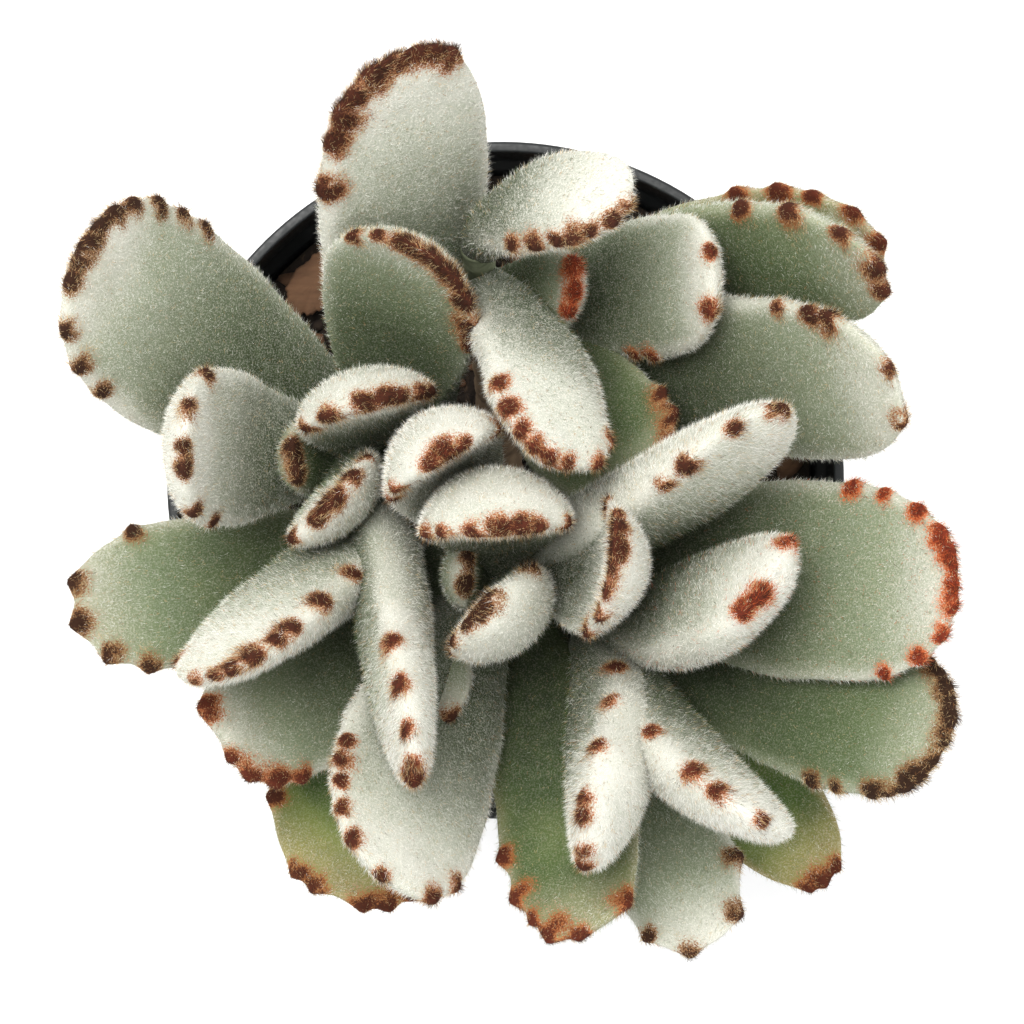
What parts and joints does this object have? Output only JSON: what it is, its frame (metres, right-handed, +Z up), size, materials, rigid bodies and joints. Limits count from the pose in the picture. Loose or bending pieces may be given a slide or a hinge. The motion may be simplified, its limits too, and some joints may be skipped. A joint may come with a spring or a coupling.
{
  "type": "potted panda plant",
  "caption": "Small branched succulent with thick felted grey-green leaves, brown notched tips, in a round tapered nursery pot with soil.",
  "frame": {"origin": "centre of the pot's flat underside, where it stands on a table", "axes": "+Z up along the pot's axis, +Y towards the tallest northern leaves, +X towards the two broad eastern leaves"},
  "size_m": [0.1052, 0.1075, 0.141],
  "materials": {
    "pot_plastic": "black moulded plastic, satin",
    "potting_soil": "dark crumbly potting mix",
    "stem_wood": "woody brown succulent stem",
    "bark": "rough bark chips",
    "leaf_felt": "thick grey-green leaf under short white felt, brown teeth at the tip"
  },
  "bodies": {
    "root": {"pot": "pot_plastic", "soil": "potting_soil", "stem": "stem_wood", "bark_chip_1": "bark", "bark_chip_2": "bark", "bark_chip_3": "bark", "bark_chip_4": "bark", "middle_leaf_01": "leaf_felt", "middle_leaf_02": "leaf_felt", "middle_leaf_03": "leaf_felt", "middle_leaf_04": "leaf_felt", "middle_leaf_05": "leaf_felt", "north_leaf_01": "leaf_felt", "north_leaf_02": "leaf_felt", "north_leaf_03": "leaf_felt", "west_leaf_01": "leaf_felt", "west_leaf_02": "leaf_felt", "west_leaf_03": "leaf_felt", "east_leaf_01": "leaf_felt", "middle_leaf_06": "leaf_felt", "east_leaf_02": "leaf_felt", "east_leaf_03": "leaf_felt", "west_leaf_04": "leaf_felt", "west_leaf_05": "leaf_felt", "west_leaf_06": "leaf_felt", "west_leaf_07": "leaf_felt", "north_leaf_04": "leaf_felt", "middle_leaf_07": "leaf_felt", "middle_leaf_08": "leaf_felt", "north_leaf_05": "leaf_felt", "east_leaf_04": "leaf_felt", "west_leaf_08": "leaf_felt", "west_leaf_09": "leaf_felt", "north_leaf_06": "leaf_felt", "middle_leaf_09": "leaf_felt", "west_leaf_10": "leaf_felt", "north_leaf_07": "leaf_felt", "north_leaf_08": "leaf_felt", "east_leaf_05": "leaf_felt", "middle_leaf_10": "leaf_felt", "middle_leaf_11": "leaf_felt", "east_leaf_06": "leaf_felt", "middle_leaf_12": "leaf_felt"}
  },
  "joints": []
}
